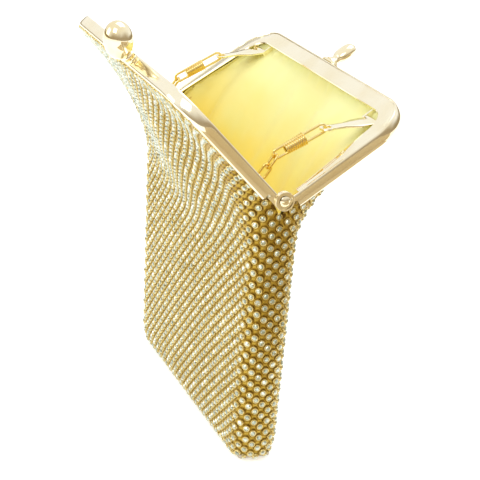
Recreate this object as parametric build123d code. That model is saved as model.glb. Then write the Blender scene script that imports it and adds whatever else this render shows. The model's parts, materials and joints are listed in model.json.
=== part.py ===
from build123d import *
import os
from math import atan2, cos, degrees, radians, sin, sqrt

# Framed evening bag, standing open on its base. Millimetres, +Z up, +X the right-hand end, +Y the rear.
# The origin is the middle of the base. Each frame half is modelled upright and closed, then swung open.

# Frame
frame_length = 150.0       # over the outer faces of both arms
arm_length = 60.0          # hinge axis to the outer face of the top bar
mouth_drop = 27.0          # the body's mouth to the hinge axis
front_opening = 44.0       # lean of the front half from upright, in degrees
rear_opening = 55.0        # lean of the rear half from upright, in degrees
rim_depth = 5.5            # depth of each half's outer wall
sheet = 1.0                # pressed frame metal
top_flange = 7.0           # width of the face along the top bar
arm_flange = 9.5           # width of the face along the arms
corner_radius = 18.0       # outer corners of the frame
window_radius = 6.0        # inner corners of the face
face_gap = 0.2             # each closed face to the plane where the halves meet
flange_foot = 8.0          # the face stops this far above the hinge axis

# Hinge
eye_radius = 3.85
rivet_radius = 1.5
rivet_clearance = 0.05
rivet_head_radius = 2.1
rivet_head_height = 0.9
eye_gap = 0.05
washer_radius = 2.8
washer_thickness = 0.5
tail_radius = 2.2
tail_thickness = 0.6
neck_foot = eye_radius + 0.75   # the front wall starts above the rear eye
neck_top = neck_foot + 5.4      # the front eye's neck joins the wall up to here

# Retainer strips
strip_width = 4.5
strip_thickness = 0.8
strip_clearance = 0.1

# Bag body
base_depth = 20.0
mouth_depth = 21.0
body_height = 88.0
mouth_length = frame_length - 7
base_length = mouth_length - 9
hinge_height = body_height + mouth_drop
body_corner = 4.0
mesh_thickness = 1.4
floor_thickness = 1.2
lining_thickness = 0.6
cloth_clearance = 0.3
stiffener_thickness = 1.5
stiffener_margin = 1.6     # the board's edge to the inside of the mesh and its clearance

# Flaps from the body's mouth to the frame halves
flap_half_length = frame_length / 2 - 3
flap_top_margin = 1.5      # the flap's edge to the outer face of the top bar
gusset_drop = 8.0          # the flaps' side cheeks start this far below the hinge axis

# Clasp
front_lock_offset = 12.0   # each knob's middle to the middle of the frame
rear_lock_offset = -6.0
lock_base_length = 12.0
lock_base_height = 1.2
lock_clearance = 0.3
front_knob_size = (12.0, 12.0, 15.5)
front_knob_lean = 35.0
front_knob_shift = 1.5     # the ball stands this far from its stem towards the other half
rear_knob_size = (8.5, 5.5, 12.0)

# Chain tabs
tab_width = 9.6
tab_middle = frame_length / 2 - arm_flange - tab_width / 2 - 1.2
tab_pivot_height = arm_length - top_flange - 5
tab_pivot_depth = 2.4      # behind the plane where the halves meet
tab_reach = 19.0           # pin to the middle of the hole
tab_neck = 4.6
tab_end_radius = 3.0
tab_hole_radius = 1.7
tab_thickness = 0.9
tab_direction = 186.0      # direction of the tab in the YZ plane, from +Y towards +Z
barrel_radius = 1.2
pin_radius = 0.6
pin_clearance = 0.05
lug_thickness = 1.0
lug_gap = 0.1
bracket_thickness = 1.0
bracket_reach = 2.8

# Chain
wire = 1.1                 # diameter of the chain's wire
link_width = 4.6
end_link_length = 24.5
end_link_direction = 207.6
sleeve_length = 9.5
sleeve_radius = 2.7
sleeve_from_far_end = 10.0
small_link_length = 7.2
small_link_width = 4.4
link_slack = 0.2           # play between two linked wires
chain_floor_clearance = 0.8


def swing_rear(shape):
    """Takes a rear piece from its closed place to its open place."""
    return Pos(0, 0, hinge_height) * Rot(-rear_opening, 0, 0) * shape


def swing_front(shape):
    """Mirrors a piece modelled at the rear, and swings it open to the front."""
    return Pos(0, 0, hinge_height) * Rot(front_opening, 0, 0) * mirror(shape, about=Plane.XZ)


def arch(side_inset, top_inset, radius, foot):
    """The frame's outline with rounded top corners, drawn in a plane of its own."""
    width = frame_length - 2 * side_inset
    height = arm_length - top_inset - foot
    outline = Pos(0, foot) * Rectangle(width, height, align=(Align.CENTER, Align.MIN))
    return fillet(outline.vertices().group_by(Axis.Y)[-1], radius)


def upright(face, start, depth):
    """Stands a flat outline up, from start to start + depth behind the closing plane."""
    return Pos(0, start, 0) * extrude(Plane.XZ * face, amount=depth, dir=(0, 1, 0))


def disc(radius, start, thickness, middle=(0, 0)):
    """A cylinder along X from start to start + thickness, at (y, z)."""
    shape = Cylinder(radius, thickness, align=(Align.CENTER, Align.CENTER, Align.MIN))
    return Pos(start, middle[0], middle[1]) * Rot(0, 90, 0) * shape


def on_both_ends(shape):
    return shape + mirror(shape, about=Plane.YZ)


def channel(wall_foot):
    """The outer wall and the face of one frame half, closed and upright."""
    cut = -2 * flange_foot
    inside = arch(sheet, sheet, corner_radius - sheet, cut)
    window = arch(arm_flange, top_flange, window_radius, cut)
    wall = arch(0, 0, corner_radius, wall_foot) - inside
    face = arch(0, 0, corner_radius, flange_foot) - window
    return upright(wall, face_gap, rim_depth) + upright(face, face_gap, sheet)


def rear_frame():
    half = frame_length / 2
    eye = disc(eye_radius, half - sheet, sheet)
    hole = disc(rivet_radius, half - 2 * sheet, 3 * sheet)
    return channel(0) + on_both_ends(eye) - on_both_ends(hole)


def front_frame():
    """Modelled at the rear like every front piece, so its neck is on the +Y side of the eye."""
    outer = frame_length / 2 - sheet - eye_gap
    inner = outer - sheet
    eye = disc(eye_radius, inner, sheet)
    reach = eye_radius - face_gap
    low = (Align.MIN, Align.MIN, Align.MIN)
    neck = Pos(inner, face_gap, 0) * Box(sheet, reach, neck_top, align=low)
    joggle = Pos(inner, face_gap, neck_foot + 0.4)
    joggle *= Box(sheet + eye_gap + sheet / 2, reach, neck_top - neck_foot, align=low)
    hole = disc(rivet_radius + rivet_clearance, inner - sheet, 3 * sheet)
    return channel(neck_foot) + on_both_ends(eye + neck + joggle) - on_both_ends(hole)


def retainer():
    """Strip that holds the cloth and the mesh in the back of the channel."""
    edge = sheet + strip_clearance
    outside = arch(edge, edge, corner_radius - edge, flange_foot)
    inner = edge + strip_width
    inside = arch(inner, inner, corner_radius - inner, -flange_foot)
    return upright(outside - inside, face_gap + rim_depth - strip_thickness, strip_thickness)


def rivet(side):
    """Rivet with a domed head outside and a peened tail inside."""
    outer = frame_length / 2
    tail_end = washer_start()
    tail_start = tail_end - tail_thickness
    top = outer + rivet_head_height
    dome_radius = (rivet_head_radius ** 2 + rivet_head_height ** 2) / (2 * rivet_head_height)
    outline = Polyline((top, 0), (tail_start, 0), (tail_start, tail_radius), (tail_end, tail_radius),
                       (tail_end, rivet_radius), (outer, rivet_radius), (outer, rivet_head_radius))
    dome = RadiusArc((outer, rivet_head_radius), (top, 0), dome_radius)
    shape = revolve(make_face(outline + dome), Axis.X)
    return shape if side > 0 else mirror(shape, about=Plane.YZ)


def washer_start():
    return frame_length / 2 - 2 * sheet - 2 * eye_gap - washer_thickness


def washer(side):
    ring = disc(washer_radius, washer_start(), washer_thickness)
    shape = ring - disc(rivet_radius, washer_start() - sheet, 3 * sheet)
    return shape if side > 0 else mirror(shape, about=Plane.YZ)


def body_volume(inset, low, high):
    """The body's tapered block, shrunk by inset on each side, from low to high."""
    sections = []
    for height in (low, high):
        share = height / body_height
        length = base_length + (mouth_length - base_length) * share - 2 * inset
        depth = base_depth + (mouth_depth - base_depth) * share - 2 * inset
        corner = body_corner - min(inset, body_corner * 0.75)
        sections.append(Pos(0, 0, height) * RectangleRounded(length, depth, corner))
    return loft(sections)


def mesh_body():
    return body_volume(0, 0, body_height) - body_volume(mesh_thickness, floor_thickness, body_height)


def base_stiffener():
    inset = mesh_thickness + cloth_clearance + stiffener_margin
    return body_volume(inset, floor_thickness, floor_thickness + stiffener_thickness)


def lining_body():
    floor = floor_thickness + stiffener_thickness
    outer = body_volume(mesh_thickness + cloth_clearance, floor, body_height)
    inset = mesh_thickness + cloth_clearance + lining_thickness
    return outer - body_volume(inset, floor + lining_thickness, body_height)


def half_point(opening, along, behind):
    """(y, z) of a place on an open rear half: along the arm, and behind the closing plane."""
    lean = radians(opening)
    y = along * sin(lean) + behind * cos(lean)
    z = hinge_height + along * cos(lean) - behind * sin(lean)
    return (y, z)


def pocket(opening, inset):
    """Wedge between the body's mouth and an open rear half, shrunk by inset behind and at the ends."""
    back = face_gap + rim_depth
    top = half_point(opening, arm_length - flap_top_margin, back)
    low = half_point(opening, flange_foot, back)
    floor = body_height + cloth_clearance
    foot = (mouth_depth / 2, floor)
    corners = [top, low, (cloth_clearance, hinge_height - gusset_drop), (cloth_clearance, floor), foot]
    face = make_face(Polyline(*corners, close=True)) - behind_cloth(foot, top, inset)
    half = flap_half_length - inset
    block = Pos(-half, 0, 0) * extrude(Plane.YZ * face, amount=2 * half, dir=(1, 0, 0))
    edge = flap_top_margin + inset
    outline = arch(edge, edge, corner_radius - edge, -arm_length)
    prism = Pos(0, 0, hinge_height) * Rot(-opening, 0, 0) * upright(outline, -arm_length, 3 * arm_length)
    return block & prism


def behind_cloth(foot, top, inset):
    """Everything outside the line from foot to top, once that line is moved inwards by inset."""
    length = sqrt((top[0] - foot[0]) ** 2 + (top[1] - foot[1]) ** 2)
    lean = degrees(atan2(top[0] - foot[0], top[1] - foot[1]))
    block = Pos(-inset, 0) * Rectangle(length, 3 * length, align=(Align.MIN, Align.CENTER))
    return Pos(foot[0], foot[1]) * Rot(0, 0, -lean) * block


def flap(opening, inset, thickness):
    return pocket(opening, inset) - pocket(opening, inset + thickness)


def lock_base(offset):
    """Foot plate of a clasp knob, on the top bar's outer face."""
    depth = rim_depth - 2 * lock_clearance
    low = (Align.CENTER, Align.MIN, Align.MIN)
    plate = Box(lock_base_length, depth, lock_base_height, align=low)
    plate = fillet(plate.edges().filter_by(Axis.Z), depth / 2 - 0.1)
    return Pos(offset, face_gap + lock_clearance, arm_length) * plate


def ellipsoid(size):
    """Ball stretched to the given length, depth and height."""
    return scale(Sphere(1), by=(size[0] / 2, size[1] / 2, size[2] / 2))


def knob(size, lean, shift, offset):
    """Clasp knob on a short stem, leaning over the closing plane."""
    seat = arm_length + lock_base_height
    middle = face_gap + rim_depth / 2
    lean_share = radians(lean)
    reach = sqrt((size[2] / 2 * cos(lean_share)) ** 2 + (size[1] / 2 * sin(lean_share)) ** 2)
    ball_height = seat + reach + lock_clearance
    ball = Pos(offset, middle - shift, ball_height) * Rot(lean, 0, 0) * ellipsoid(size)
    stem_height = ball_height - seat
    stem_radius = min(size[1], rim_depth) * 0.4
    stem = Cylinder(stem_radius, stem_height, align=(Align.CENTER, Align.CENTER, Align.MIN))
    return ball + Pos(offset, middle, seat) * stem


def direction(angle):
    return (cos(radians(angle)), sin(radians(angle)))


def tab_pivot():
    return half_point(rear_opening, tab_pivot_height, tab_pivot_depth)


def ring_middle():
    """(y, z) of the middle of the metal between a tab's hole and its end, where a link turns."""
    reach = tab_reach + (tab_hole_radius + tab_end_radius) / 2
    way = direction(tab_direction)
    return (tab_pivot()[0] + reach * way[0], tab_pivot()[1] + reach * way[1])


def chain_tab(side):
    """Paddle tab: a barrel round its pin, a wide root, a neck and a round end with a hole."""
    root = 0.35 * tab_reach
    neck = 0.62 * tab_reach
    half = tab_width / 2
    outline = Polyline((0, -half), (root, -half), (neck, -tab_neck / 2), (tab_reach, -tab_neck / 2),
                       (tab_reach, tab_neck / 2), (neck, tab_neck / 2), (root, half), (0, half), close=True)
    paddle = make_face(outline) + Pos(tab_reach, 0) * Circle(tab_end_radius)
    paddle -= Pos(tab_reach, 0) * Circle(tab_hole_radius)
    plate = Pos(0, 0, -tab_thickness / 2) * extrude(paddle, amount=tab_thickness)
    barrel = Rot(90, 0, 0) * Cylinder(barrel_radius, tab_width)
    bore = Rot(90, 0, 0) * Cylinder(pin_radius + pin_clearance, 2 * tab_width)
    way = direction(tab_direction)
    pivot = (side * tab_middle, tab_pivot()[0], tab_pivot()[1])
    place = Plane(origin=pivot, x_dir=(0, way[0], way[1]), z_dir=(0, way[1], -way[0]))
    return place * (plate + barrel - bore)


def tab_pin(side):
    """Pin along X through the tab's barrel and both lugs of its bracket."""
    length = tab_width + 2 * (lug_gap + lug_thickness)
    pin = disc(pin_radius, -length / 2, length)
    return swing_rear(Pos(side * tab_middle, tab_pivot_depth, tab_pivot_height) * pin)


def tab_bracket(side):
    """Plate behind the top bar's face with two lugs that carry the tab's pin."""
    low = (Align.MIN, Align.MIN, Align.MIN)
    inner = tab_width / 2 + lug_gap
    front = face_gap + sheet
    foot = tab_pivot_height - barrel_radius
    plate_foot = arm_length - top_flange + 0.5
    top = plate_foot + bracket_reach
    depth = tab_pivot_depth + barrel_radius - front
    width = 2 * (inner + lug_thickness)
    shape = Pos(-width / 2, front, plate_foot) * Box(width, bracket_thickness, top - plate_foot, align=low)
    for start in (-width / 2, inner):
        shape += Pos(start, front, foot) * Box(lug_thickness, depth, top - foot, align=low)
    hole = disc(pin_radius, -width, 2 * width, (tab_pivot_depth, tab_pivot_height))
    return swing_rear(Pos(side * tab_middle, 0, 0) * (shape - hole))


def oval_link(length, width):
    """Wire link in the XY plane, long along X, its middle at the origin."""
    bend = (width - wire) / 2
    half = (length - wire) / 2 - bend
    path = Polyline((-half, -bend), (half, -bend)) + RadiusArc((half, -bend), (half, bend), -bend)
    path += Polyline((half, bend), (-half, bend)) + RadiusArc((-half, bend), (-half, -bend), -bend)
    section = Plane(origin=(0, -bend, 0), z_dir=(1, 0, 0)) * Circle(wire / 2)
    return sweep(section, path=path)


def link_at(length, width, middle, way, turn):
    """A link whose long side runs along way, turned about that line; turn 0 lies in the YZ plane."""
    side = Vector(1, 0, 0) if abs(way[0]) < 0.7 else Vector(0, 1, 0)
    place = Plane(origin=middle, x_dir=way, z_dir=side)
    return place * Rot(turn, 0, 0) * oval_link(length, width)


def end_link_middle():
    bend = (link_width - wire) / 2
    reach = end_link_length / 2 - wire / 2 - bend
    way = direction(end_link_direction)
    return (ring_middle()[0] + reach * way[0], ring_middle()[1] + reach * way[1])


def end_link(side):
    way = direction(end_link_direction)
    middle = (side * tab_middle, end_link_middle()[0], end_link_middle()[1])
    return link_at(end_link_length, link_width, middle, (0, way[0], way[1]), 0)


def link_sleeve(side):
    """Ribbed barrel closed round both legs of the end link."""
    way = direction(end_link_direction)
    shift = end_link_length / 2 - sleeve_from_far_end
    middle = end_link_middle()
    place = Plane(origin=(side * tab_middle, middle[0] + shift * way[0], middle[1] + shift * way[1]),
                  z_dir=(0, way[0], way[1]))
    return place * Cylinder(sleeve_radius, sleeve_length) - end_link(side)


def chain_route(side):
    """Places along the hanging chain, from the end link to the middle of the floor."""
    bend = (link_width - wire) / 2
    way = direction(end_link_direction)
    reach = end_link_length / 2 - wire / 2 - bend
    start = (end_link_middle()[0] + reach * way[0], end_link_middle()[1] + reach * way[1])
    floor = floor_thickness + stiffener_thickness + lining_thickness
    rest = floor + chain_floor_clearance + small_link_width / 2
    x = side * tab_middle
    return Polyline((x, start[0], start[1]), (x, start[0] - 7, start[1] - 10), (x, -5, body_height),
                    (side * (tab_middle - 4), -2, 30), (side * (tab_middle - 12), 0, rest), (0, 0, rest))


def chain_run(side):
    """Small links along the route, each turned a quarter from the last."""
    route = chain_route(side)
    reach = (small_link_length - wire) / 2
    pitch = 2 * reach - wire - link_slack
    first = (link_width - wire) / 2 - wire - link_slack + reach
    count = int((route.length - first) / pitch)
    run = []
    for number in range(count):
        place = (first + number * pitch) / route.length
        way = route % place
        turn = 90 * ((number + 1) % 2)
        run.append(link_at(small_link_length, small_link_width, route @ place, (way.X, way.Y, way.Z), turn))
    return Compound(children=run)


parts = {
    "mesh_body": mesh_body(),
    "lining_body": lining_body(),
    "base_stiffener": base_stiffener(),
    "front_frame": swing_front(front_frame()),
    "rear_frame": swing_rear(rear_frame()),
    "front_retainer_strip": swing_front(retainer()),
    "rear_retainer_strip": swing_rear(retainer()),
    "front_mesh_flap": mirror(flap(front_opening, 0, mesh_thickness), about=Plane.XZ),
    "rear_mesh_flap": flap(rear_opening, 0, mesh_thickness),
    "front_lining_flap": mirror(flap(front_opening, mesh_thickness + cloth_clearance, lining_thickness),
                                about=Plane.XZ),
    "rear_lining_flap": flap(rear_opening, mesh_thickness + cloth_clearance, lining_thickness),
    "front_lock_base": swing_front(lock_base(front_lock_offset)),
    "front_lock_knob": swing_front(knob(front_knob_size, front_knob_lean, front_knob_shift, front_lock_offset)),
    "rear_lock_base": swing_rear(lock_base(rear_lock_offset)),
    "rear_lock_knob": swing_rear(knob(rear_knob_size, 0, 0, rear_lock_offset)),
}
for name, side in (("right", 1), ("left", -1)):
    parts[name + "_hinge_rivet"] = swing_rear(rivet(side))
    parts[name + "_hinge_washer"] = swing_rear(washer(side))
    parts[name + "_tab_bracket"] = tab_bracket(side)
    parts[name + "_tab_pin"] = tab_pin(side)
    parts[name + "_chain_tab"] = chain_tab(side)
    parts[name + "_end_link"] = end_link(side)
    parts[name + "_link_sleeve"] = link_sleeve(side)
    parts[name + "_chain_run"] = chain_run(side)

os.makedirs("parts", exist_ok=True)
for name, shape in parts.items():
    export_step(shape, f"parts/{name}.step")
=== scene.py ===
import bpy
import json
import numpy as np
from math import asin, cos, pi, radians, sin, sqrt
from mathutils import Matrix, Vector, noise


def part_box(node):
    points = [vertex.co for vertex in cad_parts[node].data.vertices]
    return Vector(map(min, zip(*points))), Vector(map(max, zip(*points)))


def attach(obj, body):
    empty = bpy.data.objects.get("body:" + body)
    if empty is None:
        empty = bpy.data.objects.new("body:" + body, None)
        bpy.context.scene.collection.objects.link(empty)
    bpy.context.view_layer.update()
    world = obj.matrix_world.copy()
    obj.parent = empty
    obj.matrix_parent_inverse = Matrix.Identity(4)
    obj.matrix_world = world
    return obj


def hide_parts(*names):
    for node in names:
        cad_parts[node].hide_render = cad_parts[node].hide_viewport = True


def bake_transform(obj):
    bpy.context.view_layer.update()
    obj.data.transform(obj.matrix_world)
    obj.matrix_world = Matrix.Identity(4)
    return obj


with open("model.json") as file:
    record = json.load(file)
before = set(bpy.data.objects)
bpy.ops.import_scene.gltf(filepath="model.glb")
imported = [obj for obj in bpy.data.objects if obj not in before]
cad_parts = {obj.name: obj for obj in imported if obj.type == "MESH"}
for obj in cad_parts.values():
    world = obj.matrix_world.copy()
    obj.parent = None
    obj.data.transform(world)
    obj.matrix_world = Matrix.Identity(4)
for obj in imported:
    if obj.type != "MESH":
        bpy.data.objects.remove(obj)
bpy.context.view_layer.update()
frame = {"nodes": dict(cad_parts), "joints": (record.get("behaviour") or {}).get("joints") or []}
print("frame loaded")

mm = 0.001
joints = {joint["name"]: joint for joint in frame["joints"]}
hinge = Vector(joints["front_hinge"]["pos_m"])
lean = {-1: radians(joints["front_hinge"]["range_deg"][1]), 1: radians(joints["rear_hinge"]["range_deg"][1])}
halfBody = {-1: "front_half", 1: "rear_half"}
sideName = {-1: "front", 1: "rear"}
endName = {-1: "left", 1: "right"}

# sizes of the pressed frame, shared by what is fixed to it
frameSizes = dict(halfLength=75 * mm, arm=60 * mm, corner=18 * mm, gap=0.2 * mm, sheet=1.0 * mm)


def deselect():
    if bpy.context.mode != "OBJECT":
        bpy.ops.object.mode_set(mode="OBJECT")
    bpy.ops.object.select_all(action="DESELECT")


def activate(piece):
    deselect()
    piece.select_set(True)
    bpy.context.view_layer.objects.active = piece


def named(name):
    piece = bpy.context.object
    piece.name = name
    piece.data.name = name
    return piece


def pick(piece, test, mode="VERT"):
    # selects what the test accepts, by its middle, and leaves the piece in edit mode
    activate(piece)
    bpy.ops.object.mode_set(mode="EDIT")
    bpy.ops.mesh.select_all(action="DESELECT")
    bpy.ops.mesh.select_mode(type=mode)
    bpy.ops.object.mode_set(mode="OBJECT")
    mesh = piece.data
    if mode == "VERT":
        for vertex in mesh.vertices:
            vertex.select = test(vertex.co)
    elif mode == "FACE":
        for polygon in mesh.polygons:
            polygon.select = test(polygon.center, polygon.normal)
    else:
        for edge in mesh.edges:
            ends = [mesh.vertices[i].co for i in edge.vertices]
            edge.select = test(*ends)
    bpy.ops.object.mode_set(mode="EDIT")


def settle(piece, matrix):
    # puts a piece modelled at the origin in its place, and applies it
    activate(piece)
    piece.matrix_world = matrix
    bpy.ops.object.transform_apply(location=True, rotation=True, scale=True)
    return piece


def cleanUp(piece, angle=35):
    activate(piece)
    bpy.ops.object.mode_set(mode="EDIT")
    bpy.ops.mesh.select_all(action="SELECT")
    bpy.ops.mesh.remove_doubles(threshold=1e-6)
    bpy.ops.mesh.normals_make_consistent(inside=False)
    bpy.ops.object.mode_set(mode="OBJECT")
    bpy.ops.object.shade_smooth_by_angle(angle=radians(angle))
    return piece


def joinPieces(pieces, name):
    deselect()
    for piece in pieces:
        piece.select_set(True)
    bpy.context.view_layer.objects.active = pieces[0]
    bpy.ops.object.join()
    return named(name)


def dress(piece, material):
    piece.data.materials.clear()
    piece.data.materials.append(material)
    return piece


def openPlace(side):
    # from the upright closed place, hinge at the origin, to the open place; the front is mirrored
    turn = Matrix.Rotation(-side * lean[side], 4, "X")
    flip = Matrix.Diagonal((1, side, 1, 1))
    return Matrix.Translation(hinge) @ turn @ flip


def halfPoint(side, across, along, behind):
    # across the bag, up along the arms and behind the closing plane, all in the upright closed place
    return openPlace(side) @ Vector((across, behind, along))


class Wire:
    # one output of a node, which Python's operators can work on
    def __init__(self, maker, socket):
        self.maker = maker
        self.socket = socket

    def sums(self, operation, *values):
        return self.maker.node("ShaderNodeMath", {"operation": operation}, dict(enumerate(values)))

    def __add__(self, other):
        return self.sums("ADD", self, other)

    def __sub__(self, other):
        return self.sums("SUBTRACT", self, other)

    def __mul__(self, other):
        return self.sums("MULTIPLY", self, other)

    def __rsub__(self, other):
        return self.sums("SUBTRACT", other, self)

    __radd__ = __add__

    def fract(self):
        return self.sums("FRACT", self)

    def root(self):
        return self.sums("SQRT", self)

    def lower(self, other):
        return self.sums("MINIMUM", self, other)

    def span(self, start, end):
        # eases from 0 at start to 1 at end
        values = {"Value": self, "From Min": start, "From Max": end}
        return self.maker.node("ShaderNodeMapRange", {"interpolation_type": "SMOOTHSTEP"}, values)


class NodeMaker:
    # adds nodes to one tree: settings first, then values or links for the sockets
    def __init__(self, tree):
        self.tree = tree

    def node(self, kind, settings=None, inputs=None, output=0):
        node = self.tree.nodes.new(kind)
        for key, value in (settings or {}).items():
            setattr(node, key, value)
        for key, value in (inputs or {}).items():
            self.plug(node.inputs[key], value)
        return Wire(self, node.outputs[output])

    def plug(self, socket, value):
        if isinstance(value, Wire):
            self.tree.links.new(value.socket, socket)
        elif socket.type == "RGBA" and len(value) == 3:
            socket.default_value = (*value, 1)
        else:
            socket.default_value = value

    def mix(self, share, first, second):
        # sockets 0, 6 and 7 and output 2 are the colour ones
        return self.node("ShaderNodeMix", {"data_type": "RGBA"}, {0: share, 6: first, 7: second}, 2)


class Shader(NodeMaker):
    # a new material and its Principled node
    def __init__(self, name, **values):
        self.material = bpy.data.materials.new(name)
        self.material.use_nodes = True
        super().__init__(self.material.node_tree)
        self.surface = self.tree.nodes["Principled BSDF"]
        self.set(**values)

    def set(self, **values):
        for key, value in values.items():
            self.plug(self.surface.inputs[key.replace("_", " ")], value)

    def coordinates(self, scale=(1, 1, 1)):
        where = self.node("ShaderNodeTexCoord", output="Object")
        return self.node("ShaderNodeMapping", {}, {"Vector": where, "Scale": scale})

    def noise(self, scale, detail=3.0, where=None):
        where = where or self.coordinates()
        return self.node("ShaderNodeTexNoise", {}, {"Vector": where, "Scale": scale, "Detail": detail})

    def bump(self, height, strength, distance):
        values = {"Height": height, "Strength": strength, "Distance": distance}
        self.set(Normal=self.node("ShaderNodeBump", {}, values))


def polishedGold(name, colour, deep, roughness=0.09, wear=0.05, scratches=0.05):
    # plated metal: faint cloudy polish, hairline scratches, and a deeper tone in patches
    shader = Shader(name, Metallic=1.0)
    patches = shader.noise(60, 4)
    smears = shader.noise(220, 3, where=shader.coordinates((1, 3, 1)))
    hairlines = shader.noise(900, 2, where=shader.coordinates((1, 12, 12)))
    shader.set(Base_Color=shader.mix(patches.span(0.35, 0.7), colour, deep))
    shader.set(Roughness=roughness + smears.span(0.4, 0.75) * wear)
    shader.bump(hairlines * 0.5 + patches, scratches, 0.00004)
    return shader.material


# the stones' grid on the cloth: diamonds, so every second column is shifted by half a row
clothGrid = dict(columns=27, rowPitch=5.1 * mm, firstRow=1.6 * mm, acrossPitch=5.63 * mm)


def meshGround():
    # gilt mesh between the set stones, padded in the middle of each diamond, with painted shade darkening it at
    # the cups' feet
    shader = Shader("gilt_mesh", Metallic=0.85)
    uv = shader.node("ShaderNodeTexCoord", output="UV")
    column = shader.node("ShaderNodeSeparateXYZ", {}, {0: uv}, "X")
    row = shader.node("ShaderNodeSeparateXYZ", {}, {0: uv}, "Y")

    def stoneDistance(shift):
        # millimetres to the nearest stone of one of the two crossed grids
        across = ((column + shift).fract() - 0.5) * (clothGrid["acrossPitch"] / mm)
        along = ((row + shift).fract() - 0.5) * (clothGrid["rowPitch"] / mm)
        return (across * across + along * along).root()

    nearest = stoneDistance(0.5).lower(stoneDistance(0.0))
    # painted shade: the ground's colour darkens close round each cup's foot, where the cups would shade it
    foot = 1 - nearest.span(1.35, 1.7)
    threads = shader.noise(2600, 2)
    patches = shader.noise(140, 3)
    gold = shader.mix(patches.span(0.3, 0.7), (0.58, 0.40, 0.065), (0.45, 0.29, 0.033))
    gold = shader.mix(threads.span(0.35, 0.65) * 0.35, gold, (0.24, 0.13, 0.02))
    # the painted shade at the cups' feet is mixed into the ground's colour here
    shader.set(Base_Color=shader.mix(foot * 0.85, gold, (0.10, 0.045, 0.006)))
    shader.set(Roughness=0.26 + patches * 0.16)
    shader.bump(nearest.span(1.2, 2.3) + threads * 0.16, 0.8, 0.0006)
    return shader.material


def cupGold():
    # paler, worn gold of the stones' cups
    shader = Shader("cup_gold", Metallic=1.0)
    patches = shader.noise(160, 3)
    shader.set(Base_Color=shader.mix(patches.span(0.3, 0.7), (0.70, 0.58, 0.27), (0.58, 0.45, 0.16)))
    shader.set(Roughness=0.2 + patches * 0.12)
    shader.bump(shader.noise(3000, 2), 0.1, 0.00005)
    return shader.material


def crystal():
    # foil-backed cut glass: mirror-bright facets with a cool grey-green cast
    shader = Shader("crystal", Metallic=0.75)
    tint = shader.noise(420, 1)
    shader.set(Base_Color=shader.mix(tint.span(0.35, 0.65), (0.68, 0.72, 0.62), (0.40, 0.45, 0.36)))
    shader.set(Roughness=0.04 + tint * 0.05)
    shader.set(Coat_Weight=0.3, Coat_Roughness=0.02)
    return shader.material


def satin():
    # pale yellow, with painted shade: a deeper yellow lower down in the bag
    shader = Shader("pale_satin", Sheen_Weight=0.25, Sheen_Roughness=0.4, IOR=1.45)
    where = shader.node("ShaderNodeTexCoord", output="Object")
    height = shader.node("ShaderNodeSeparateXYZ", {}, {0: where}, "Z")
    cloud = shader.noise(28, 3)
    # painted shade: below this height the colour turns a deeper yellow, standing in for the shade and yellow
    # bounce deep in the bag
    depth = (height + cloud * 0.02).span(0.108, 0.158)
    tone = shader.mix(depth, (0.93, 0.72, 0.10), (0.88, 0.88, 0.42))
    tone = shader.mix(cloud.span(0.35, 0.75) * 0.35, tone, (0.80, 0.87, 0.44))
    shader.set(Base_Color=tone, Roughness=0.38 + cloud * 0.14)
    weave = shader.noise(2400, 2, where=shader.coordinates((1, 4, 1)))
    shader.bump(weave + shader.noise(160, 2) * 0.6, 0.12, 0.0001)
    return shader.material


def boardFinish():
    shader = Shader("grey_board")
    fibres = shader.noise(900, 3)
    shader.set(Base_Color=shader.mix(fibres, (0.45, 0.4, 0.32), (0.6, 0.54, 0.45)), Roughness=0.85)
    shader.bump(fibres, 0.3, 0.0002)
    return shader.material


finishes = dict(
    frame=polishedGold("frame_gold", (0.97, 0.90, 0.70), (0.93, 0.83, 0.58)),
    strip=polishedGold("strip_gold", (0.80, 0.66, 0.38), (0.66, 0.50, 0.25), 0.3, 0.15),
    hinge=polishedGold("hinge_gold", (0.92, 0.84, 0.62), (0.82, 0.70, 0.44), 0.14, 0.1),
    clasp=polishedGold("clasp_gold", (0.97, 0.89, 0.66), (0.92, 0.78, 0.46), 0.05, 0.05),
    tab=polishedGold("tab_gold", (0.98, 0.92, 0.72), (0.94, 0.84, 0.55), 0.08),
    chain=polishedGold("chain_gold", (0.96, 0.78, 0.36), (0.86, 0.60, 0.16), 0.12, 0.1),
    mesh=meshGround(),
    cup=cupGold(),
    crystal=crystal(),
    satin=satin(),
    board=boardFinish(),
)
print("finishes made")

# pressed channel of each half; its arms start at the foot height of their side
channel = dict(face=8.2 * mm, faceStart=1.1 * mm, rimDepth=2.4 * mm, foot={-1: 4.6 * mm, 1: 1.5 * mm},
               footRun=9 * mm, faceTaper=5.0 * mm, rimTaper=2.6 * mm, footNarrower=4.2 * mm, cornerSteps=18)


def channelSection():
    # inset from the outer face, and depth behind the closing plane, in millimetres
    face = channel["face"] / mm
    return [(0.55, 0.24), (0.3, 0.5), (0.13, 1.0), (0.03, 1.7), (0.0, 2.6), (0.0, 3.4), (0.06, 4.2), (0.2, 4.9),
            (0.45, 5.4), (0.75, 5.66), (0.98, 5.6), (1.02, 5.2), (1.02, 1.5), (1.2, 1.3), (face - 0.2, 1.2),
            (face, 1.0), (face, 0.55), (face - 0.28, 0.26), (1.9, 0.26), (1.6, 0.5), (1.25, 0.5), (0.95, 0.22)]


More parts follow.
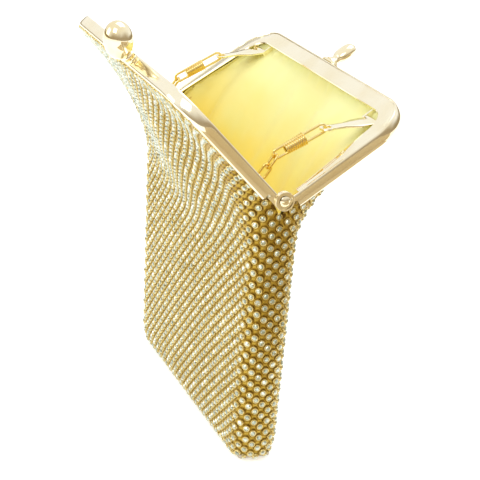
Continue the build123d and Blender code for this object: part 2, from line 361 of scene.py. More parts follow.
def frameHalf(side):
    half, arm, corner = frameSizes["halfLength"], frameSizes["arm"], frameSizes["corner"]
    foot, footRun = channel["foot"][side], channel["footRun"]
    section = channelSection()
    deselect()
    bpy.ops.mesh.primitive_circle_add(vertices=len(section), radius=2 * mm, fill_type="NGON")
    piece = named(sideName[side] + "Frame")
    for vertex, (inset, depth) in zip(piece.data.vertices, section):
        vertex.co = (half - inset * mm, depth * mm, foot)
    bpy.ops.object.mode_set(mode="EDIT")
    bpy.ops.mesh.select_all(action="SELECT")
    bpy.ops.mesh.extrude_region_move(TRANSFORM_OT_translate={"value": (0, 0, footRun)})
    rise = arm - corner - foot - footRun
    bpy.ops.mesh.extrude_region_move(TRANSFORM_OT_translate={"value": (0, 0, rise)})
    bpy.ops.mesh.spin(steps=channel["cornerSteps"], angle=pi / 2, axis=(0, 1, 0),
                      center=(half - corner, 0, arm - corner))
    width = 2 * (half - corner)
    bpy.ops.mesh.extrude_region_move(TRANSFORM_OT_translate={"value": (-width, 0, 0)})
    bpy.ops.mesh.spin(steps=channel["cornerSteps"], angle=pi / 2, axis=(0, 1, 0),
                      center=(corner - half, 0, arm - corner))
    bpy.ops.mesh.extrude_region_move(TRANSFORM_OT_translate={"value": (0, 0, -rise)})
    bpy.ops.mesh.extrude_region_move(TRANSFORM_OT_translate={"value": (0, 0, -footRun)})
    # rim and face are cut back at the foot, aslant, to clear the hinge
    faceEdge = half - channel["faceStart"]
    pick(piece, lambda co: co.z < foot + 1 * mm and abs(co.x) > faceEdge and co.y > channel["rimDepth"])
    bpy.ops.transform.translate(value=(0, 0, channel["rimTaper"]))
    pick(piece, lambda co: co.z < foot + 1 * mm and abs(co.x) < faceEdge)
    bpy.ops.transform.translate(value=(0, 0, channel["faceTaper"]))
    # and the face narrows towards it
    inner = half - channel["face"] + 0.5 * mm
    for end in (-1, 1):
        pick(piece, lambda co: co.z < foot + footRun + 1 * mm and 0 < co.x * end < inner)
        bpy.ops.transform.translate(value=(end * channel["footNarrower"], 0, 0))
    cleanUp(piece, 40)
    return piece


hingeSizes = dict(eye=3.85 * mm, gap=0.05 * mm, rimWidth=0.75 * mm, recess=0.35 * mm, edge=0.16 * mm,
                  neck=10 * mm, neckLean=0.3 * mm, neckEdge=0.15 * mm)


def hingeEye(side, end):
    # round eye at the foot of an arm: the rear one outside, with a sunk ring, the front one behind it
    outer = frameSizes["halfLength"]
    if side < 0:
        outer -= frameSizes["sheet"] + hingeSizes["gap"]
    deselect()
    middle = outer - frameSizes["sheet"] / 2
    bpy.ops.mesh.primitive_cylinder_add(vertices=48, radius=hingeSizes["eye"], depth=frameSizes["sheet"],
                                        location=(middle, 0, 0), rotation=(0, pi / 2, 0))
    bpy.ops.object.transform_apply(location=True, rotation=True, scale=True)
    piece = named(sideName[side] + endName[end] + "Eye")
    pick(piece, lambda centre, normal: normal.x > 0.9, "FACE")
    bpy.ops.mesh.inset(thickness=hingeSizes["rimWidth"])
    bpy.ops.mesh.inset(thickness=0.12 * mm, depth=-hingeSizes["recess"])
    pick(piece, lambda a, b: abs(a.x - b.x) < 1e-5 and Vector((0, a.y, a.z)).length > hingeSizes["eye"] * 0.98,
         "EDGE")
    bpy.ops.mesh.bevel(offset=hingeSizes["edge"], segments=3, affect="EDGES")
    pieces = [piece]
    if side < 0:
        # neck up to the arm's wall, in the upright place before the mirror
        deselect()
        reach, height = hingeSizes["eye"] - frameSizes["gap"], hingeSizes["neck"]
        bpy.ops.mesh.primitive_cube_add(size=1, location=(middle, frameSizes["gap"] + reach / 2, height / 2),
                                        scale=(frameSizes["sheet"], reach, height))
        bpy.ops.object.transform_apply(location=True, rotation=True, scale=True)
        neck = named("neck")
        pick(neck, lambda co: co.z > height / 2 and co.x > middle)
        bpy.ops.transform.translate(value=(hingeSizes["neckLean"], 0, 0))
        pick(neck, lambda a, b: True, "EDGE")
        bpy.ops.mesh.bevel(offset=hingeSizes["neckEdge"], segments=2, affect="EDGES")
        pieces.append(neck)
    piece = joinPieces(pieces, sideName[side] + endName[end] + "Eye")
    if end < 0:
        settle(piece, Matrix.Diagonal((-1, 1, 1, 1)))
    return piece


for side in (-1, 1):
    pieces = [frameHalf(side)] + [hingeEye(side, end) for end in (-1, 1)]
    half = joinPieces(pieces, sideName[side] + "Frame")
    settle(half, openPlace(side))
    cleanUp(half, 40)
    dress(half, finishes["frame"])
    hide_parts(sideName[side] + "_frame")
    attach(half, halfBody[side])
print("frame halves made")

bag = dict(lowHalf=67 * mm, highHalf=71.5 * mm, lowDepth=10 * mm, highDepth=10.5 * mm, taperHeight=88 * mm,
           sectionCorner=7 * mm, baseRound=2.6 * mm, creaseHeight=86 * mm, creaseSlope=4 * mm,
           creaseRise=21 * mm, creaseStart=0.7, creaseSoft=7 * mm, baseMargin=3.5 * mm, baseColumns=22)
crease = dict(out=10 * mm, height=94.7 * mm, length=12 * mm)
cloth = dict(inset=1.25 * mm, behind=5.5 * mm, edge=1.0 * mm, hugMiddle=0.12, hugEdge=0.62, rows=72,
             baseSteps=4, wallSteps=24, flapSteps=20)


def foldLine(side):
    # two points on the crease, the second a step up the slope of the flap
    step = crease["length"] / sqrt(2)
    start = (0, side * crease["out"], crease["height"])
    end = (0, side * (crease["out"] + step), crease["height"] + step)
    return start, end


def smooth(value, start, end):
    share = min(max((value - start) / (end - start), 0), 1)
    return share * share * (3 - 2 * share)


def sectionPoint(side, share, height, inset):
    # place on the body's rounded section: share runs -1 to 1 from end to end round this side
    part = min(max(height / bag["taperHeight"], 0), 1.15)
    half = bag["lowHalf"] + (bag["highHalf"] - bag["lowHalf"]) * part - inset
    depth = bag["lowDepth"] + (bag["highDepth"] - bag["lowDepth"]) * part - inset
    corner = min(bag["sectionCorner"], depth * 0.95)
    flat, arc, rest = half - corner, corner * pi / 2, depth - corner
    run = abs(share) * (flat + arc + rest)
    if run < flat:
        x, y = run, depth
    elif run < flat + arc:
        turn = (run - flat) / corner
        x, y = flat + corner * sin(turn), depth - corner + corner * cos(turn)
    else:
        x, y = half, rest - (run - flat - arc)
    return Vector((x if share >= 0 else -x, side * y, height))


def outlinePoint(side, share, edge, behind):
    # place on the frame's outline, set in by edge, for a share of the cloth's width
    half = frameSizes["halfLength"] - edge
    flat = frameSizes["halfLength"] - frameSizes["corner"]
    radius = frameSizes["corner"] - edge
    x = abs(share) * half
    over = min(max((x - flat) / radius, 0), 1)
    along = frameSizes["arm"] - frameSizes["corner"] + radius * cos(asin(over))
    return halfPoint(side, x if share >= 0 else -x, along, behind)


def creaseHeight(share):
    # the crease climbs towards the ends, steeply near the hinges
    climb = bag["creaseRise"] * smooth(abs(share), bag["creaseStart"], 1.0)
    return bag["creaseHeight"] + climb + bag["creaseSlope"] * abs(share)


def columnPath(side, share):
    # one thread of the cloth: round the base's edge, up the wall, then bowed to the frame
    inset, rounding = cloth["inset"], bag["baseRound"]
    points = []
    for step in range(cloth["baseSteps"] + 1):
        turn = step / cloth["baseSteps"] * pi / 2
        height = inset + rounding * (1 - cos(turn))
        points.append(sectionPoint(side, share, height, inset + rounding * (1 - sin(turn))))
    foot, top = inset + rounding, creaseHeight(share)
    for step in range(1, cloth["wallSteps"] + 1):
        height = foot + (top - foot) * step / cloth["wallSteps"]
        points.append(sectionPoint(side, share, height, inset))
    start = points[-1]
    end = outlinePoint(side, share, cloth["edge"], cloth["behind"])
    hug = cloth["hugMiddle"] + (cloth["hugEdge"] - cloth["hugMiddle"]) * smooth(abs(share), 0.0, 0.75)
    downArm = (halfPoint(side, 0, 0, 0) - halfPoint(side, 0, 1, 0)).normalized()
    control = end + downArm * (end - start).length * hug
    control.x = start.x * 0.5 + end.x * 0.5
    for step in range(1, cloth["flapSteps"] + 1):
        t = step / cloth["flapSteps"]
        points.append(start * (1 - t) ** 2 + control * 2 * t * (1 - t) + end * t * t)
    return points


def evenColumn(side, share):
    # the column as an array of places a millimetre apart, with its creases softened
    points = np.array([tuple(point) for point in columnPath(side, share)])
    steps = np.linalg.norm(np.diff(points, axis=0), axis=1)
    run = np.concatenate([[0], np.cumsum(steps)])
    count = int(round(run[-1] / mm)) + 1
    along = np.linspace(0, run[-1], count)
    even = np.stack([np.interp(along, run, points[:, k]) for k in range(3)], axis=1)
    window = int(round(bag["creaseSoft"] / mm))
    soft = even.copy()
    for place in range(count):
        reach = min(window, place, count - 1 - place)
        soft[place] = even[place - reach:place + reach + 1].mean(axis=0)
    return soft


def clothColumns(side, count):
    return [evenColumn(side, -1 + 2 * i / count) for i in range(count + 1)]


def sampleColumn(column, distance):
    place = np.clip(distance / mm, 0, len(column) - 1)
    low = int(place)
    high = min(low + 1, len(column) - 1)
    return column[low] * (1 - (place - low)) + column[high] * (place - low)


def gridFaces(columns, rows):
    faces = []
    for i in range(columns):
        for j in range(rows):
            a = i * (rows + 1) + j
            faces.append((a, a + rows + 1, a + rows + 2, a + 1))
    return faces


def linkedPiece(name, verts, faces):
    mesh = bpy.data.meshes.new(name)
    mesh.from_pydata(verts.tolist(), [], faces)
    piece = bpy.data.objects.new(name, mesh)
    bpy.context.collection.objects.link(piece)
    return piece


def clothSheet(name, columns):
    # grid of threads, each row at an equal share of its column's length
    verts, uvs = [], []
    count, rows = len(columns) - 1, cloth["rows"]
    for i, column in enumerate(columns):
        length = (len(column) - 1) * mm
        for j in range(rows + 1):
            distance = length * j / rows
            verts.append(sampleColumn(column, distance))
            row = (distance - clothGrid["firstRow"]) / clothGrid["rowPitch"]
            uvs.append((i / count * clothGrid["columns"], row))
    piece = linkedPiece(name, np.array(verts), gridFaces(count, rows))
    layer = piece.data.uv_layers.new(name="threads")
    corners = np.zeros(len(piece.data.loops), dtype=int)
    piece.data.loops.foreach_get("vertex_index", corners)
    layer.data.foreach_set("uv", np.array(uvs)[corners].ravel())
    return piece


def faceOut(piece, side):
    # a sheet has no inside, so its normals are set to look away from the bag's middle
    activate(piece)
    total = sum(p.normal.y * p.area for p in piece.data.polygons)
    if total * side < 0:
        bpy.ops.object.mode_set(mode="EDIT")
        bpy.ops.mesh.select_all(action="SELECT")
        bpy.ops.mesh.flip_normals()
        bpy.ops.object.mode_set(mode="OBJECT")
    bpy.ops.object.shade_smooth()


def sheetArea(piece):
    return sum(p.area for p in piece.data.polygons)


stone = dict(cup=1.42 * mm, cupHeight=1.1 * mm, cupMiddle=0.05 * mm, bead=0.1 * mm, lip=1.0 * mm,
             crystal=0.99 * mm, crystalFoot=0.7 * mm, crown=1.12 * mm, table=0.56 * mm, sides=10, facets=8,
             tilt=0.05)


def stoneMesh():
    # one cup with its crystal, modelled once at the origin and looking along +Z
    deselect()
    bpy.ops.mesh.primitive_cylinder_add(vertices=stone["sides"], radius=stone["cup"], depth=stone["cupHeight"],
                                        end_fill_type="NGON", location=(0, 0, stone["cupMiddle"]))
    bpy.ops.object.transform_apply(location=True, rotation=True, scale=True)
    cup = named("cup")
    pick(cup, lambda centre, normal: normal.z > 0.9, "FACE")
    bpy.ops.mesh.inset(thickness=stone["bead"], depth=0.08 * mm)
    bpy.ops.mesh.inset(thickness=stone["cup"] - stone["bead"] - stone["lip"])
    bpy.ops.mesh.inset(thickness=0.06 * mm, depth=-0.3 * mm)
    bpy.ops.mesh.delete(type="FACE")
    pick(cup, lambda centre, normal: normal.z < -0.9, "FACE")
    bpy.ops.mesh.delete(type="FACE")
    deselect()
    bpy.ops.mesh.primitive_cone_add(vertices=stone["facets"], radius1=stone["crystal"], radius2=stone["table"],
                                    depth=stone["crown"] - stone["crystalFoot"], end_fill_type="NGON",
                                    location=(0, 0, (stone["crown"] + stone["crystalFoot"]) / 2))
    bpy.ops.object.transform_apply(location=True, rotation=True, scale=True)
    gem = named("gem")
    pick(gem, lambda centre, normal: normal.z < -0.9, "FACE")
    bpy.ops.mesh.delete(type="FACE")
    activate(cup)
    bpy.ops.object.shade_smooth()
    cup.data.materials.append(finishes["cup"])
    gem.data.materials.append(finishes["crystal"])
    return joinPieces([cup, gem], "stonePattern")


pattern = stoneMesh()


def setStones(name, places):
    # places: middle, outward normal and a direction along the cloth; every stone is a copy of the pattern,
    # turned and tilted a little by chance
    mesh = pattern.data
    count = len(mesh.vertices)
    base = np.zeros(count * 3)
    mesh.vertices.foreach_get("co", base)
    base = base.reshape(-1, 3)
    faces = [tuple(p.vertices) for p in mesh.polygons]
    slots = [p.material_index for p in mesh.polygons]
    smoothFaces = [p.use_smooth for p in mesh.polygons]
    rng = np.random.default_rng(7)
    verts, allFaces = [], []
    for number, (middle, normal, along) in enumerate(places):
        side = np.cross(along, normal)
        side /= np.linalg.norm(side)
        up = np.cross(normal, side)
        spin = rng.uniform(0, 2 * pi)
        tiltX, tiltY = rng.normal(0, stone["tilt"], 2)
        axis = normal + side * tiltX + up * tiltY
        axis /= np.linalg.norm(axis)
        first = side * cos(spin) + up * sin(spin)
        first -= axis * np.dot(first, axis)
        first /= np.linalg.norm(first)
        second = np.cross(axis, first)
        verts.append(base @ np.stack([first, second, axis]) + middle)
        allFaces += [tuple(i + number * count for i in face) for face in faces]
    piece = linkedPiece(name, np.concatenate(verts), allFaces)
    piece.data.materials.append(finishes["cup"])
    piece.data.materials.append(finishes["crystal"])
    piece.data.polygons.foreach_set("material_index", np.array(slots * len(places)))
    piece.data.polygons.foreach_set("use_smooth", np.array(smoothFaces * len(places)))
    return piece


def surfaceFrame(columns, i, distance, side):
    # place, outward normal and thread direction on the cloth at column i and a distance up it
    count = len(columns) - 1
    here = sampleColumn(columns[i], distance)
    left = sampleColumn(columns[max(i - 1, 0)], distance)
    right = sampleColumn(columns[min(i + 1, count)], distance)
    along = sampleColumn(columns[i], distance + 2 * mm) - sampleColumn(columns[i], distance - 2 * mm)
    across = right - left
    normal = np.cross(across, along) * -side
    if i in (0, count):
        normal = np.array([-1.0 if i == 0 else 1.0, 0, 0])
        normal = normal - along * np.dot(normal, along) / np.dot(along, along)
    return here, normal / np.linalg.norm(normal), along / np.linalg.norm(along)


def stonePlaces(side, columns):
    # the end columns are shared by both sides, so only the front has their stones, up to the crease
    places = []
    for i, column in enumerate(columns):
        atEnd = i in (0, len(columns) - 1)
        if atEnd and side > 0:
            continue
        length = creaseHeight(1.0) + 1.5 * mm if atEnd else (len(column) - 1) * mm
        distance = clothGrid["firstRow"] + (clothGrid["rowPitch"] / 2 if i % 2 else 0)
        while distance < length - 1.0 * mm:
            places.append(surfaceFrame(columns, i, distance, side))
            distance += clothGrid["rowPitch"]
    return places


for side in (-1, 1):
    columns = clothColumns(side, clothGrid["columns"] * 2)
    piece = clothSheet(sideName[side] + "Mesh", columns)
    faceOut(piece, side)
    dress(piece, finishes["mesh"])
    stones = setStones(sideName[side] + "Stones", stonePlaces(side, columns))
    low, high = foldLine(side)
    for soft in (piece, stones):
        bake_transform(soft)
    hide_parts(sideName[side] + "_mesh_flap", "mesh_body")
    print(piece.name, "area", round(sheetArea(piece), 5))
print("mesh made")


def basePanel():
    # flat bottom between the rounded edges, looking down
    half = bag["lowHalf"] - cloth["inset"] - bag["baseMargin"]
    depth = bag["lowDepth"] - cloth["inset"] - bag["baseMargin"]
    height = cloth["inset"] + 0.1 * mm
    deselect()
    bpy.ops.mesh.primitive_grid_add(x_subdivisions=48, y_subdivisions=6, size=1, location=(0, 0, height))
    bpy.context.object.scale = (2 * half, 2 * depth, 1)
    bpy.ops.object.transform_apply(location=True, rotation=True, scale=True)
    piece = named("baseMesh")
    bpy.ops.object.mode_set(mode="EDIT")
    bpy.ops.mesh.select_all(action="SELECT")
    bpy.ops.mesh.flip_normals()
    bpy.ops.object.mode_set(mode="OBJECT")
    layer = piece.data.uv_layers.active
    for loop in piece.data.loops:
        co = piece.data.vertices[loop.vertex_index].co
        layer.data[loop.index].uv = (co.x / clothGrid["acrossPitch"], co.y / clothGrid["rowPitch"])
    dress(piece, finishes["mesh"])
    places = []
    for i in range(-bag["baseColumns"], bag["baseColumns"] + 1):
        for row in ((-1, 0, 1) if i % 2 == 0 else (-0.5, 0.5)):
            middle = np.array([i * clothGrid["acrossPitch"] / 2, row * clothGrid["rowPitch"], height])
            places.append((middle, np.array([0, 0, -1.0]), np.array([0, 1.0, 0])))
    stones = setStones("baseStones", places)
    for soft in (piece, stones):
        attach(soft, "bag")


basePanel()
bpy.data.objects.remove(pattern)

lining = dict(gap=2.1 * mm, frameGap=1.1 * mm, folds=3.3 * mm, columns=72, rows=84, floorHeight=3.32 * mm,
              faceTop=7.4 * mm, faceFoot=3.3 * mm, faceDepth=1.55 * mm, growth=0.05, frames=24,
              wrinkleLimit=2.2 * mm, backLimit=0.9 * mm, slideLimit=0.6 * mm)


def inwardNormals(grid, side):
    # square to the cloth and into the bag; at both ends straight across it
    across = np.gradient(grid, axis=0)
    along = np.gradient(grid, axis=1)
    normals = np.cross(across, along) * side
    for i, direction in ((0, 1.0), (-1, -1.0)):
        normals[i] = (direction, 0, 0)
    return normals / np.linalg.norm(normals, axis=2, keepdims=True)


def tuckUnderFace(side, point, share, rise):
    # near the frame the lining leaves the mesh and meets the inner edge of the face
    x, depth, along = openPlace(side).inverted() @ Vector(point)
    pull = max(smooth(rise, 0.88, 0.995), smooth(abs(share), 0.84, 0.995) * smooth(along, 3 * mm, 11 * mm))
    if pull <= 0:
        return point
    width = lining["faceFoot"] + (lining["faceTop"] - lining["faceFoot"]) * smooth(along, 8 * mm, 40 * mm)
    half, arm, corner = frameSizes["halfLength"], frameSizes["arm"], frameSizes["corner"]
    flat, straight = half - corner, arm - corner
    end = 1 if x >= 0 else -1
    if along <= straight:
        target = (end * (half - width), along)
    elif abs(x) <= flat:
        target = (x, arm - width)
    else:
        away = Vector((abs(x) - flat, along - straight)).normalized() * (corner - width)
        target = (end * (flat + away.x), straight + away.y)
    place = halfPoint(side, *target, lining["faceDepth"])
    return np.array(point) * (1 - pull) + np.array(place) * pull


def liningHalf(side):
    # the cloth's columns set inwards, with soft folds that fade to nothing at the edges
    columns = clothColumns(side, lining["columns"])
    rows = lining["rows"]
    grid = np.array([[sampleColumn(column, (len(column) - 1) * mm * j / rows) for j in range(rows + 1)]
                     for column in columns])
    normals = inwardNormals(grid, side)
    offsets = np.zeros(grid.shape[:2])
    for i in range(grid.shape[0]):
        share = -1 + 2 * i / lining["columns"]
        for j in range(rows + 1):
            rise = j / rows
            hold = smooth(rise, 0.02, 0.2) * smooth(1 - rise, 0.0, 0.16) * smooth(1 - abs(share), 0.0, 0.2)
            broad = noise.noise(Vector((share * 2.6, rise * 3.0, side * 3.7)))
            narrow = noise.noise(Vector((share * 9 + rise * 4, rise * 2.2, side * 1.3 + 9)))
            fold = max(0.0, 0.5 + broad + 0.55 * narrow) * lining["folds"]
            gap = lining["gap"] + (lining["frameGap"] - lining["gap"]) * smooth(rise, 0.9, 1.0)
            offsets[i, j] = gap + hold * fold
    grid = grid + normals * offsets[:, :, None]
    for i in range(grid.shape[0]):
        for j in range(rows + 1):
            grid[i, j] = tuckUnderFace(side, grid[i, j], -1 + 2 * i / lining["columns"], j / rows)
    verts = grid.reshape(-1, 3)
    piece = linkedPiece(sideName[side] + "Lining", verts, gridFaces(lining["columns"], rows))
    wrinkle(piece, verts, normals.reshape(-1, 3))
    faceOut(piece, -side)
    return dress(piece, finishes["satin"])


def wrinkle(piece, rest, normals):
    # the lining is cut a little larger than its place: sewn at its edges, it settles into small folds
    rows, columns = lining["rows"], lining["columns"]
    pins = [i * (rows + 1) + j for i in range(columns + 1) for j in range(rows + 1)
            if i in (0, columns) or j < 2 or j > rows - 2]
    group = piece.vertex_groups.new(name="sewn")
    group.add(pins, 1.0, "REPLACE")
    activate(piece)
    bpy.ops.object.modifier_add(type="CLOTH")
    settings = piece.modifiers["Cloth"].settings
    settings.quality = 5
    settings.mass = 0.08
    settings.tension_stiffness = settings.compression_stiffness = 6
    settings.bending_stiffness = 0.05
    settings.shrink_min = -lining["growth"]
    settings.vertex_group_mass = "sewn"
    for step in range(1, lining["frames"] + 1):
        bpy.context.scene.frame_set(step)
    bpy.ops.object.modifier_apply(modifier="Cloth")
    bpy.context.scene.frame_set(1)
    settled = np.zeros(len(piece.data.vertices) * 3)
    piece.data.vertices.foreach_get("co", settled)
    moved = settled.reshape(-1, 3) - rest
    depth = (moved * normals).sum(axis=1)
    slide = moved - normals * depth[:, None]
    length = np.linalg.norm(slide, axis=1, keepdims=True) + 1e-9
    slide *= np.minimum(1, lining["slideLimit"] / length)
    limit = lining["wrinkleLimit"]
    depth = np.maximum(limit * np.tanh(depth / limit), -lining["backLimit"])
    final = rest + normals * depth[:, None] + slide
    piece.data.vertices.foreach_set("co", final.ravel())
    piece.data.update()
    activate(piece)
    bpy.ops.object.vertex_group_remove(all=True)


for side in (-1, 1):
    piece = liningHalf(side)
    low, high = foldLine(side)
    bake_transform(piece)
    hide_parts(sideName[side] + "_lining_flap", "lining_body")

deselect()
bpy.ops.mesh.primitive_grid_add(x_subdivisions=24, y_subdivisions=4, size=1,
                                location=(0, 0, lining["floorHeight"]))
floorHalf, floorDepth = bag["lowHalf"] - bag["baseMargin"], bag["lowDepth"] - bag["baseMargin"]
bpy.context.object.scale = (2 * floorHalf, 2 * floorDepth, 1)
bpy.ops.object.transform_apply(location=True, rotation=True, scale=True)
floorLining = named("floorLining")
bpy.ops.object.shade_smooth()
dress(floorLining, finishes["satin"])
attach(floorLining, "bag")
print("lining made")


def lathe(name, rings, sides=40):
    # rings: height and radius, in millimetres, from the foot up
    deselect()
    height, radius = rings[0]
    bpy.ops.mesh.primitive_circle_add(vertices=sides, radius=radius * mm, fill_type="NGON",
                                      location=(0, 0, height * mm))
    bpy.ops.object.transform_apply(location=True, rotation=True, scale=True)
    piece = named(name)
    bpy.ops.object.mode_set(mode="EDIT")
    bpy.ops.mesh.select_all(action="SELECT")
    for nextHeight, nextRadius in rings[1:]:
        bpy.ops.mesh.extrude_region_move(TRANSFORM_OT_translate={"value": (0, 0, (nextHeight - height) * mm)})
        share = nextRadius / radius
        bpy.ops.transform.resize(value=(share, share, 1), center_override=(0, 0, nextHeight * mm))
        height, radius = nextHeight, nextRadius
    bpy.ops.object.mode_set(mode="OBJECT")
    return piece


# in millimetres, heights along the arms from the hinge
knobs = {
    -1: dict(offset=12.0, ball=(6.0, 6.0, 7.75), lean=35, centre=68.7, shift=1.5,
             foot=[(61.2, 3.0), (61.35, 3.15), (61.7, 3.1), (62.2, 2.4), (62.9, 2.1), (64.5, 2.3)]),
    1: dict(offset=-6.0, widen=1.45,
            foot=[(61.2, 2.5), (61.35, 2.7), (61.8, 2.65), (62.3, 2.1), (62.9, 1.75), (63.6, 1.8), (64.6, 2.3),
                  (65.8, 2.6), (67.4, 2.75), (69.2, 2.75), (70.8, 2.6), (72.0, 2.25), (72.8, 1.7), (73.3, 1.0),
                  (73.45, 0.3)]),
}
for side in (-1, 1):
    shape = knobs[side]
    piece = lathe(sideName[side] + "Knob", shape["foot"], 48)
    settle(piece, Matrix.Diagonal((shape.get("widen", 1), 1, 1, 1)))
    if "ball" in shape:
        deselect()
        bpy.ops.mesh.primitive_uv_sphere_add(segments=56, ring_count=36, radius=1 * mm)
        place = Matrix.Translation((0, -shape["shift"] * mm, shape["centre"] * mm))
        tilt = Matrix.Rotation(radians(shape["lean"]), 4, "X")
        ball = settle(bpy.context.object, place @ tilt @ Matrix.Diagonal((*shape["ball"], 1)))
        piece = joinPieces([piece, ball], sideName[side] + "Knob")
    settle(piece, openPlace(side) @ Matrix.Translation((shape["offset"] * mm, 2.95 * mm, 0)))
    cleanUp(piece, 50)
    dress(piece, finishes["clasp"])
    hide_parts(sideName[side] + "_lock_knob")
    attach(piece, halfBody[side])

# in millimetres and degrees
sleeve = dict(length=9.5, radius=2.68, narrow=2.25, groove=0.85, ribs=10, ribPitch=0.93, lean=207.6)


def sleeveRings():
    # ribs all along, narrowing from the tab's end towards the chain
    rings = []
    for rib in range(sleeve["ribs"]):
        foot = -sleeve["length"] / 2 + 0.1 + rib * sleeve["ribPitch"]
        full = sleeve["radius"] - (sleeve["radius"] - sleeve["narrow"]) * rib / sleeve["ribs"]
        low = full - sleeve["groove"]
        rings += [(foot, low), (foot + 0.04, full - 0.12), (foot + 0.14, full), (foot + 0.38, full),
                  (foot + 0.48, full - 0.12), (foot + 0.52, low)]
    return rings


for end in (-1, 1):
    low, high = [Vector(corner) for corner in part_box(endName[end] + "_link_sleeve")]
    piece = lathe(endName[end] + "Sleeve", sleeveRings(), 32)
    turn = radians(sleeve["lean"])
    axis = Vector((0, cos(turn), sin(turn)))
    settle(piece, Matrix.Translation((low + high) / 2) @ axis.to_track_quat("Z", "X").to_matrix().to_4x4())
    cleanUp(piece, 30)
    dress(piece, finishes["chain"])
    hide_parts(endName[end] + "_link_sleeve")
    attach(piece, endName[end] + "_link")


def softenedCopy(node, width, finish, body):
    # a copy of a CAD piece with its edges rounded, as pressed and tumbled metal has
    activate(frame["nodes"][node])
    bpy.ops.object.duplicate()
    piece = named(node.replace("_", "") + "Soft")
    bpy.ops.object.mode_set(mode="EDIT")
    bpy.ops.mesh.select_all(action="SELECT")
    bpy.ops.mesh.remove_doubles(threshold=1e-6)
    bpy.ops.mesh.dissolve_limited(angle_limit=radians(2))
    bpy.ops.object.mode_set(mode="OBJECT")
    bpy.ops.object.modifier_add(type="BEVEL")
    bevel = piece.modifiers["Bevel"]
    bevel.width = width
    bevel.segments = 2
    bevel.angle_limit = radians(40)
    bpy.ops.object.modifier_apply(modifier="Bevel")
    bpy.ops.object.shade_smooth_by_angle(angle=radians(40))
    dress(piece, finishes[finish])
    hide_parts(node)
    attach(piece, body)


for side in (-1, 1):
    softenedCopy(sideName[side] + "_lock_base", 0.25 * mm, "clasp", halfBody[side])
for end in (-1, 1):
    softenedCopy(endName[end] + "_chain_tab", 0.14 * mm, "tab", endName[end] + "_tab")
print("fittings made")

# pieces that keep their CAD shape, by a word of their name
keptFinish = dict(retainer="strip", hinge="hinge", tab_pin="hinge", bracket="tab", end_link="chain",
                  chain_run="chain", stiffener="board")
for name, node in frame["nodes"].items():
    for word, finish in keptFinish.items():
        if word in name:
            dress(node, finishes[finish])

# camera, with its roll in degrees and its lens in millimetres
view = dict(place=(0.5616, -0.2128, 0.2911), aim=(0.0003, 0.0127, 0.0717), roll=3.9, lens=111.55)


def makeFloor():
    deselect()
    bpy.ops.mesh.primitive_plane_add(size=6)
    floor = named("floor")
    shader = Shader("pale_floor", Roughness=0.6)
    grain = shader.noise(6, 3)
    shader.set(Base_Color=shader.mix(grain, (0.93, 0.93, 0.92), (0.97, 0.97, 0.96)))
    shader.set(Emission_Color=(1, 1, 1), Emission_Strength=0.45)
    floor.data.materials.append(shader.material)


def makeWorld():
    # white studio with a brown horizon, darker where the room is behind the camera
    world = bpy.data.worlds.new("studio")
    bpy.context.scene.world = world
    world.use_nodes = True
    world.node_tree.nodes.clear()
    maker = NodeMaker(world.node_tree)
    where = maker.node("ShaderNodeTexCoord", output="Generated")
    across = maker.node("ShaderNodeSeparateXYZ", {}, {0: where}, "X")
    height = maker.node("ShaderNodeSeparateXYZ", {}, {0: where}, "Z")
    wander = maker.node("ShaderNodeTexNoise", {}, {"Vector": where, "Scale": 2.2, "Detail": 1.0})
    rise = height + wander * 0.3 - 0.15
    far = maker.mix(rise.span(0.04, 0.2), (0.34, 0.27, 0.17), (1.0, 1.0, 1.0))
    near = maker.mix(rise.span(0.1, 0.7), (0.42, 0.34, 0.24), (0.95, 0.92, 0.86))
    glow = {"Color": maker.mix(across.span(-0.1, 0.6), far, near), "Strength": 1.0}
    background = maker.node("ShaderNodeBackground", {}, glow)
    output = world.node_tree.nodes.new("ShaderNodeOutputWorld")
    maker.plug(output.inputs["Surface"], background)


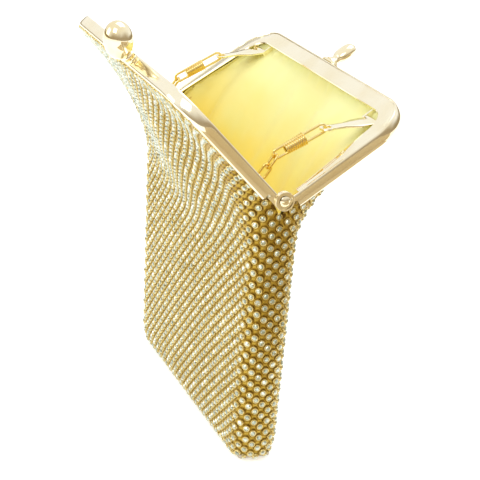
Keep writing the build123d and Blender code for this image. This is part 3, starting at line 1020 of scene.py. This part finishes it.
lights = [dict(name="keyLight", place=(0.5, -0.6, 0.9), size=0.5, power=1.8),
          dict(name="topLight", place=(-0.2, 0.3, 1.1), size=0.8, power=3),
          dict(name="sideLight", place=(-0.3, -0.9, 0.5), size=0.5, power=1.5)]
lightAim = Vector((0, 0, 0.08))


def softLight(name, place, size, power):
    deselect()
    bpy.ops.object.light_add(type="AREA", location=place)
    light = bpy.context.object
    light.name = name
    light.data.size = size
    light.data.energy = power
    light.rotation_euler = (lightAim - Vector(place)).to_track_quat("-Z", "Y").to_euler()


def makeCamera():
    place, aim = Vector(view["place"]), Vector(view["aim"])
    turn = (aim - place).to_track_quat("-Z", "Y").to_matrix().to_4x4()
    data = bpy.data.cameras.new("camera")
    data.lens = view["lens"]
    data.sensor_width = 36
    data.clip_start = 0.01
    camera = bpy.data.objects.new("camera", data)
    bpy.context.collection.objects.link(camera)
    camera.matrix_world = Matrix.Translation(place) @ turn @ Matrix.Rotation(radians(view["roll"]), 4, "Z")
    bpy.context.scene.camera = camera


# one card stands, the other lies on the floor before it
cards = [dict(name="standingCard", place=(0.30, 0.17, 0.075), size=(0.42, 0.11), tilt=90),
         dict(name="floorCard", place=(0.27, 0.10, 0.0015), size=(0.44, 0.30), tilt=0)]


def makeCard(card):
    # warm card beside the camera, out of its view, for the frame's polished rim to reflect
    deselect()
    turn = (radians(card["tilt"]), 0, radians(-68))
    bpy.ops.mesh.primitive_plane_add(size=1, location=card["place"], rotation=turn)
    piece = named(card["name"])
    piece.scale = (card["size"][0], card["size"][1], 1)
    bpy.ops.object.transform_apply(location=True, rotation=True, scale=True)
    shader = Shader("warm_card", Roughness=0.8)
    cloud = shader.noise(4, 3)
    shader.set(Base_Color=shader.mix(cloud, (0.48, 0.40, 0.25), (0.66, 0.54, 0.35)))
    piece.data.materials.append(shader.material)
    piece.visible_camera = False


makeFloor()
makeWorld()
for card in cards:
    makeCard(card)
for light in lights:
    softLight(**light)
makeCamera()
bpy.context.scene.view_settings.view_transform = "Standard"
print("stage made")

deselect()
